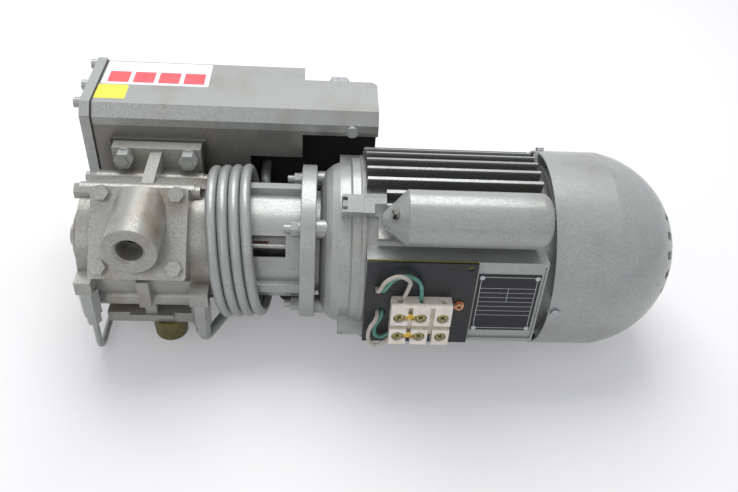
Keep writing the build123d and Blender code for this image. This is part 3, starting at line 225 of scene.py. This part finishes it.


# ---------------------------------------------------------------- oil box
# Cast aluminium box in the same enamel. The hollow of its front wall beside the motor is coloured matt near-black,
# painted shade that makes it read as a dark recess; everything below just under the chamfer is painted darker brown, as
# painted shade.
box_enamel, tree, shader = enamel("hammer_enamel_and_painted_shade_on_oil_box", "#A6A8A5", "#939592", "#857C6F", 0.40)
box_low, box_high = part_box("oil_box")
recess_left = box_low[0] + 0.1225
recess_front, recess_back = box_low[1] + 0.0042, box_low[1] + 0.0250
recess_top = box_high[2] - 0.0188
place = add(tree, "ShaderNodeTexCoord").outputs["Object"]
at = add(tree, "ShaderNodeSeparateXYZ", {0: place})
inside = add(tree, "ShaderNodeMath", {0: at.outputs["X"], 1: recess_left}, operation="GREATER_THAN")
for socket, limit, kind in (("Y", recess_front, "GREATER_THAN"), ("Y", recess_back, "LESS_THAN"),
                            ("Z", recess_top, "LESS_THAN")):
    side = add(tree, "ShaderNodeMath", {0: at.outputs[socket], 1: limit}, operation=kind)
    inside = add(tree, "ShaderNodeMath", {0: inside.outputs[0], 1: side.outputs[0]}, operation="MULTIPLY")
# Painted shade: everything lower than just under the chamfer is mixed towards dark brown.
painted_shade_share = 0.55
painted_shade_top = recess_top + 0.003
low_down = add(tree, "ShaderNodeMath", {0: at.outputs["Z"], 1: painted_shade_top}, operation="LESS_THAN")
painted_shade_amount = add(tree, "ShaderNodeMath", {0: low_down.outputs[0], 1: painted_shade_share}, operation="MULTIPLY")
enamelled = shader.inputs["Base Color"].links[0].from_socket
painted_shade_below = add(tree, "ShaderNodeMix", {0: painted_shade_amount.outputs[0], 6: enamelled, 7: linear("#4E443A")}, data_type="RGBA")
# Painted shade: the hollow beside the motor is coloured matt near-black for the deep shadow in it.
box_recess_painted_shade = add(tree, "ShaderNodeMix", {0: inside.outputs[0], 6: painted_shade_below.outputs[2], 7: linear("#161614")},
             data_type="RGBA")
metal = add(tree, "ShaderNodeMapRange", {"Value": inside.outputs[0], 3: 0.30, 4: 0.0})
gloss = shader.inputs["Roughness"].links[0].from_socket
matt = add(tree, "ShaderNodeMix", {0: inside.outputs[0], 2: gloss, 3: 0.85})
tree.links.new(box_recess_painted_shade.outputs[2], shader.inputs["Base Color"])
tree.links.new(metal.outputs[0], shader.inputs["Metallic"])
tree.links.new(matt.outputs[0], shader.inputs["Roughness"])
dress(box_enamel, "oil_box")


# ---------------------------------------------------------------- plain labels on the oil box
# Two vinyl stickers on top of the oil box, left without any print but four red fields and a yellow one: thin
# film with rounded corners that lies flat on the enamel.
def sticker(name, x_range, y_range, material, top=box_high[2], corner=0.0015, film=0.0002):
    """Thin film with rounded corners, lying on a level face."""
    mesh = bmesh.new()
    rim = []
    left, right = x_range[0] + corner, x_range[1] - corner
    front, back = y_range[0] + corner, y_range[1] - corner
    for x, y, start in ((right, back, 0), (left, back, 90), (left, front, 180), (right, front, 270)):
        for step in range(5):
            turn = radians(start + 22.5 * step)
            rim.append(mesh.verts.new((x + corner * cos(turn), y + corner * sin(turn), top)))
    face = mesh.faces.new(rim)
    raised = bmesh.ops.extrude_face_region(mesh, geom=[face])
    bmesh.ops.translate(mesh, vec=(0, 0, film), verts=[v for v in raised["geom"] if isinstance(v, bmesh.types.BMVert)])
    bmesh.ops.recalc_face_normals(mesh, faces=mesh.faces)
    data = bpy.data.meshes.new(name)
    mesh.to_mesh(data)
    mesh.free()
    piece = bpy.data.objects.new(name, data)
    bpy.context.collection.objects.link(piece)
    data.materials.append(material)
    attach(piece, "pump_body")
    return piece


def vinyl(name, colour):
    """Vinyl film: smooth, a little cloudy and slightly soiled."""
    haze_patch = 0.008
    material, tree, surface = new_material(name)
    place = add(tree, "ShaderNodeTexCoord").outputs["Object"]
    haze = add(tree, "ShaderNodeTexNoise", {"Vector": place, "Scale": 1 / haze_patch, "Detail": 4.0})
    soil = add(tree, "ShaderNodeMapRange", {"Value": haze.outputs["Fac"], 1: 0.45, 2: 0.75, 4: 0.18})
    tint = add(tree, "ShaderNodeMix", {0: soil.outputs[0], 6: linear(colour), 7: linear("#8A857C")}, data_type="RGBA")
    shader = add(tree, "ShaderNodeBsdfPrincipled", {"Base Color": tint.outputs[2], "Roughness": 0.34})
    tree.links.new(shader.outputs[0], surface)
    return material


label_film, field_film = 0.00010, 0.00015
white_width, white_depth = 0.0860, 0.0365
white_left = box_low[0] + 0.0010
white_front = box_high[1] - 0.0378
sticker("white_label", (white_left, white_left + white_width), (white_front, white_front + white_depth),
        vinyl("white_vinyl", "#E9EAF0"), film=label_film)

field_width, field_pitch, field_margin = 0.0168, 0.0203, 0.0045
field_front, field_back = white_front + 0.0035, white_front + 0.0205
red_vinyl = vinyl("red_vinyl", "#F4525A")
for i in range(4):
    field_left = white_left + field_margin + field_pitch * i
    sticker(f"red_field_{i + 1}", (field_left, field_left + field_width), (field_front, field_back), red_vinyl,
            corner=0.0008, film=field_film)

yellow_left, yellow_right = box_low[0] - 0.0005, box_low[0] + 0.0240
sticker("yellow_label", (yellow_left, yellow_right), (white_front - 0.0220, white_front - 0.0010),
        vinyl("yellow_vinyl", "#EFE23F"), film=label_film)


# ---------------------------------------------------------------- gaskets, seals and the elastic coupling star
# Pressed fibre and nitrile rubber sheet, punched and clamped between the castings, with a dull fine grain.
def two_tone(name, light, dark, grain, roughness, metallic=0.0, relief=0.00004, stretch=(1.0, 1.0, 1.0)):
    """Finish in two close tones with a grain of this size in metres; returns its material and shader."""
    material, tree, surface = new_material(name)
    place = add(tree, "ShaderNodeTexCoord").outputs["Object"]
    drawn = add(tree, "ShaderNodeVectorMath", {0: place, 1: stretch}, operation="MULTIPLY")
    noise = add(tree, "ShaderNodeTexNoise", {"Vector": drawn.outputs[0], "Scale": 1 / grain, "Detail": 4.0})
    tone = add(tree, "ShaderNodeMapRange", {"Value": noise.outputs["Fac"], 1: 0.35, 2: 0.65})
    colour = add(tree, "ShaderNodeMix", {0: tone.outputs[0], 6: linear(dark), 7: linear(light)}, data_type="RGBA")
    bump = add(tree, "ShaderNodeBump", {"Strength": 0.5, "Distance": relief, "Height": noise.outputs["Fac"]})
    shader = add(tree, "ShaderNodeBsdfPrincipled", {"Base Color": colour.outputs[2], "Roughness": roughness,
                                                    "Metallic": metallic, "Normal": bump.outputs[0]})
    tree.links.new(shader.outputs[0], surface)
    return material, tree, shader


fibre = two_tone("gasket_fibre", "#4A4740", "#35322C", grain=0.0012, roughness=0.8)[0]
dress(fibre, "inlet_gasket", "oil_box_gasket", "mounting_gasket")
oiled_card = two_tone("gasket_oiled_card", "#8C8348", "#6B6336", grain=0.0010, roughness=0.75)[0]
dress(oiled_card, "terminal_gasket")
nitrile = two_tone("black_nitrile_rubber", "#242424", "#191919", grain=0.0008, roughness=0.6)[0]
dress(nitrile, "shaft_seal", "foot_lantern")
dress(two_tone("red_polyurethane", "#A8402E", "#93362A", grain=0.0030, roughness=0.45)[0], "coupling_spider")


# ---------------------------------------------------------------- rubber feet
# Moulded feet in an olive-coloured rubber, with a slight sheen where they were trimmed.
dress(two_tone("olive_rubber", "#6E6431", "#544C22", grain=0.0040, roughness=0.5)[0], "foot_front", "feet_box")


# ---------------------------------------------------------------- rotors, valves and bearings
# Ground steel inside the pump and the motor: fine rings from the wheel run round the shaft under a thin film
# of oil, which leaves a soft, slightly streaked shine. The lantern screws are blackened instead.
steel = two_tone("ground_steel", "#A9A9A8", "#8B8B8A", grain=0.0006, roughness=0.30, metallic=1.0, relief=0.00001,
                 stretch=(1.0, 0.2, 0.2))[0]
dress(steel, "pump_rotor", "motor_rotor", "inlet_strainer", "check_valve_disc", "exhaust_valve", "motor_bearings")
blackened = two_tone("blackened_screw_steel", "#3A3A3B", "#29292A", grain=0.0008, roughness=0.45, metallic=0.8)[0]
dress(blackened, "lantern_screws")


# ---------------------------------------------------------------- bushes and vanes
# Turned bronze bushes are pressed into the covers. The vanes are sawn from a fibre and resin composite, dark
# brown, dull and very finely grained.
dress(two_tone("bearing_bronze", "#B58A4E", "#97703B", grain=0.0008, roughness=0.35, metallic=1.0)[0], "bushes")
dress(two_tone("carbon_composite", "#4A4036", "#362E27", grain=0.0006, roughness=0.6)[0], "vane_1", "vane_2", "vane_3")


# ---------------------------------------------------------------- coupling hubs
# Cast aluminium, left bare: pale, with a fine sandy skin.
aluminium = two_tone("cast_aluminium", "#B3B3B0", "#979793", grain=0.0009, roughness=0.45, metallic=0.9)[0]
dress(aluminium, "pump_hub", "motor_hub")


# ---------------------------------------------------------------- stator core and windings
# Stamped sheets of electrical steel stacked along the shaft, which read as fine bands across it, with coils
# of varnished copper wire whose turns run along the slots.
laminations = two_tone("stacked_laminations", "#77777A", "#3F3F42", grain=0.0008, roughness=0.5, metallic=0.7,
                       relief=0.00003, stretch=(1.0, 0.05, 0.05))[0]
dress(laminations, "stator_core")
copper = two_tone("enamelled_copper_wire", "#A8602F", "#6F3A1C", grain=0.0012, roughness=0.35, metallic=0.6,
                  relief=0.0003, stretch=(1.0, 0.1, 0.1))[0]
dress(copper, "windings")


# ---------------------------------------------------------------- exhaust filter, cooling fan and capacitor
# Cream filter paper folded along its length, a fan moulded in black polyamide, and a capacitor in a smooth
# pale plastic can.
pleats = two_tone("pleated_filter_paper", "#D9CFAF", "#B5AA86", grain=0.0030, roughness=0.9, relief=0.0004,
                  stretch=(0.05, 1.0, 1.0))[0]
dress(pleats, "exhaust_filter")
dress(two_tone("black_polyamide", "#26262A", "#1B1B1E", grain=0.0010, roughness=0.5)[0], "cooling_fan")
dress(two_tone("capacitor_shell", "#C9C9C6", "#B9B9B5", grain=0.0040, roughness=0.35)[0], "capacitor")


# ---------------------------------------------------------------- plated screws and plugs
# Zinc-plated steel: a cool, slightly cloudy grey with bright edges. The small screws have a cross recess, which is not
# modelled: its shade is painted as a dark cross on their heads.
def cross(tree, place, centre, pitch=(1.0, 1.0), arm=0.0021, slot=0.00050, tilt=0.6):
    """Share of a cross recess at this centre, repeated at this pitch along X and Z."""
    moved = add(tree, "ShaderNodeVectorMath", {0: place, 1: centre}, operation="SUBTRACT")
    parts = add(tree, "ShaderNodeSeparateXYZ", {0: moved.outputs[0]})
    across_x = add(tree, "ShaderNodeMath", {0: parts.outputs["X"], 1: pitch[0] / 2, 2: -pitch[0] / 2}, operation="WRAP")
    along_z = add(tree, "ShaderNodeMath", {0: parts.outputs["Z"], 1: pitch[1] / 2, 2: -pitch[1] / 2}, operation="WRAP")
    flat = add(tree, "ShaderNodeCombineXYZ", {0: across_x.outputs[0], 1: along_z.outputs[0]})
    turned = add(tree, "ShaderNodeVectorRotate", {"Vector": flat.outputs[0], "Angle": tilt}, rotation_type="Z_AXIS")
    size = add(tree, "ShaderNodeVectorMath", {0: turned.outputs[0]}, operation="ABSOLUTE")
    arms = add(tree, "ShaderNodeSeparateXYZ", {0: size.outputs[0]})
    narrow = add(tree, "ShaderNodeMath", {0: arms.outputs["X"], 1: arms.outputs["Y"]}, operation="MINIMUM")
    wide = add(tree, "ShaderNodeMath", {0: arms.outputs["X"], 1: arms.outputs["Y"]}, operation="MAXIMUM")
    in_slot = add(tree, "ShaderNodeMath", {0: narrow.outputs[0], 1: slot}, operation="LESS_THAN")
    in_arm = add(tree, "ShaderNodeMath", {0: wide.outputs[0], 1: arm}, operation="LESS_THAN")
    return add(tree, "ShaderNodeMath", {0: in_slot.outputs[0], 1: in_arm.outputs[0]}, operation="MULTIPLY").outputs[0]


def paint_cross_shade(made, name, centre, shade="#2A2620", **sizes):
    """Paint the shade of a cross recess into a finish as a dark cross, and give it to this node."""
    material, tree, shader = made
    place = add(tree, "ShaderNodeTexCoord").outputs["Object"]
    mark = cross(tree, place, centre, **sizes)
    coat = shader.inputs["Base Color"].links[0].from_socket
    cross_painted_shade = add(tree, "ShaderNodeMix", {0: mark, 6: coat, 7: linear(shade)}, data_type="RGBA")
    tree.links.new(cross_painted_shade.outputs[2], shader.inputs["Base Color"])
    dress(material, name)


zinc = two_tone("zinc_plated_steel", "#B9BCBE", "#8F9294", grain=0.0020, roughness=0.32, metallic=1.0)[0]
dress(zinc, "filler_plug", "hood_screws")
# Painted shade: a dark cross stands for the cross recess on the capacitor screw and on the board screw.
low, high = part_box("capacitor_screw")
zinc_cross = two_tone("zinc_plated_cross_screw", "#B2B1AC", "#85837D", grain=0.0015, roughness=0.35, metallic=0.9)
paint_cross_shade(zinc_cross, "capacitor_screw", [(a + b) / 2 for a, b in zip(low, high)])
low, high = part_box("board_screw")
copper_cross = two_tone("copper_plated_screw", "#D8A684", "#B47E5E", grain=0.0015, roughness=0.32, metallic=0.9)
paint_cross_shade(copper_cross, "board_screw", [(a + b) / 2 for a, b in zip(low, high)])


# ---------------------------------------------------------------- terminal board, block and wires
# A black phenolic sheet with a six-pole block of cream glazed porcelain. Its screws are yellow-passivated,
# the links are brass strip, and the motor leads are PVC wire in grey and green.
dress(two_tone("black_phenolic_sheet", "#232426", "#1B1C1E", grain=0.0025, roughness=0.48)[0], "terminal_board")
dress(two_tone("cream_porcelain", "#EDE6DC", "#DDD4C7", grain=0.0060, roughness=0.28)[0], "terminal_block")
dress(two_tone("brass_strip", "#DDBB5A", "#C4A146", grain=0.0020, roughness=0.30, metallic=0.85)[0], "terminal_links")
low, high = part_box("terminal_screws")
screw_head = 0.0084
screw_pitch = (0.0159, 0.0179)
passivated = two_tone("yellow_passivated_steel", "#BDB47C", "#77704A", grain=0.0016, roughness=0.33, metallic=0.85)
# Painted shade: dark crosses stand for the recesses of the terminal screws.
paint_cross_shade(passivated, "terminal_screws",
         (low[0] + screw_head / 2, 0.0, high[2] - screw_head / 2), pitch=screw_pitch, shade="#1E1A12")
dress(two_tone("grey_pvc", "#BDB6AB", "#A9A196", grain=0.0040, roughness=0.4)[0], "wires_grey")
dress(two_tone("green_pvc", "#5F9A8A", "#4C8476", grain=0.0040, roughness=0.4)[0], "wires_green")


# ---------------------------------------------------------------- rating plate
# Thin anodised aluminium plate, black with bare metal rules that divide it into empty rows, held by four
# aluminium rivets.
plate_metal, tree, shader = two_tone("black_anodised_plate", "#26282B", "#1C1D20", grain=0.0015, roughness=0.38,
                                     metallic=0.3)
low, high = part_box("rating_plate")
middle_x, middle_z = (low[0] + high[0]) / 2, (low[2] + high[2]) / 2
half_x, half_z = (high[0] - low[0]) / 2, (high[2] - low[2]) / 2
place = add(tree, "ShaderNodeTexCoord").outputs["Object"]
moved = add(tree, "ShaderNodeVectorMath", {0: place, 1: (middle_x, 0.0, middle_z)}, operation="SUBTRACT")
size = add(tree, "ShaderNodeVectorMath", {0: moved.outputs[0]}, operation="ABSOLUTE")
away = add(tree, "ShaderNodeSeparateXYZ", {0: size.outputs[0]})
signed = add(tree, "ShaderNodeSeparateXYZ", {0: moved.outputs[0]})
rule = 0.00022
border_inset = 0.0022
row_top, row_pitch = 0.0125, 0.0043
rivet_inset, rivet_radius = 0.0025, 0.0019


def band(value, centre, width):
    """1 where this value lies within a width of a centre."""
    return add(tree, "ShaderNodeMath", {0: value, 1: centre, 2: width}, operation="COMPARE").outputs[0]


def both(first, second, kind="MULTIPLY"):
    """Two masks or values together, or one of them against a limit."""
    return add(tree, "ShaderNodeMath", {0: first, 1: second}, operation=kind).outputs[0]


in_x = both(away.outputs["X"], half_x - border_inset + 0.0003, "LESS_THAN")
in_z = both(away.outputs["Z"], half_z - border_inset + 0.0003, "LESS_THAN")
lines = both(both(band(away.outputs["X"], half_x - border_inset, rule), in_z),
             both(band(away.outputs["Z"], half_z - border_inset, rule), in_x), "MAXIMUM")
for row in range(7):
    row_z = half_z - row_top - row_pitch * row
    lines = both(lines, both(band(signed.outputs["Z"], row_z, rule * 0.7), in_x), "MAXIMUM")
divider = both(band(signed.outputs["X"], 0.0005, rule * 0.7), band(signed.outputs["Z"], half_z - 0.0190, 0.0065))
lines = both(lines, divider, "MAXIMUM")
corner_x = add(tree, "ShaderNodeMath", {0: away.outputs["X"], 1: half_x - rivet_inset}, operation="SUBTRACT")
corner_z = add(tree, "ShaderNodeMath", {0: away.outputs["Z"], 1: half_z - rivet_inset}, operation="SUBTRACT")
corner = add(tree, "ShaderNodeCombineXYZ", {0: corner_x.outputs[0], 1: corner_z.outputs[0]})
distance = add(tree, "ShaderNodeVectorMath", {0: corner.outputs[0]}, operation="LENGTH")
rivet = add(tree, "ShaderNodeMath", {0: distance.outputs["Value"], 1: rivet_radius}, operation="LESS_THAN").outputs[0]
bare = both(lines, rivet, "MAXIMUM")
coat = shader.inputs["Base Color"].links[0].from_socket
shown = add(tree, "ShaderNodeMix", {0: bare, 6: coat, 7: linear("#B9BBBC")}, data_type="RGBA")
tree.links.new(shown.outputs[2], shader.inputs["Base Color"])
dress(plate_metal, "rating_plate")
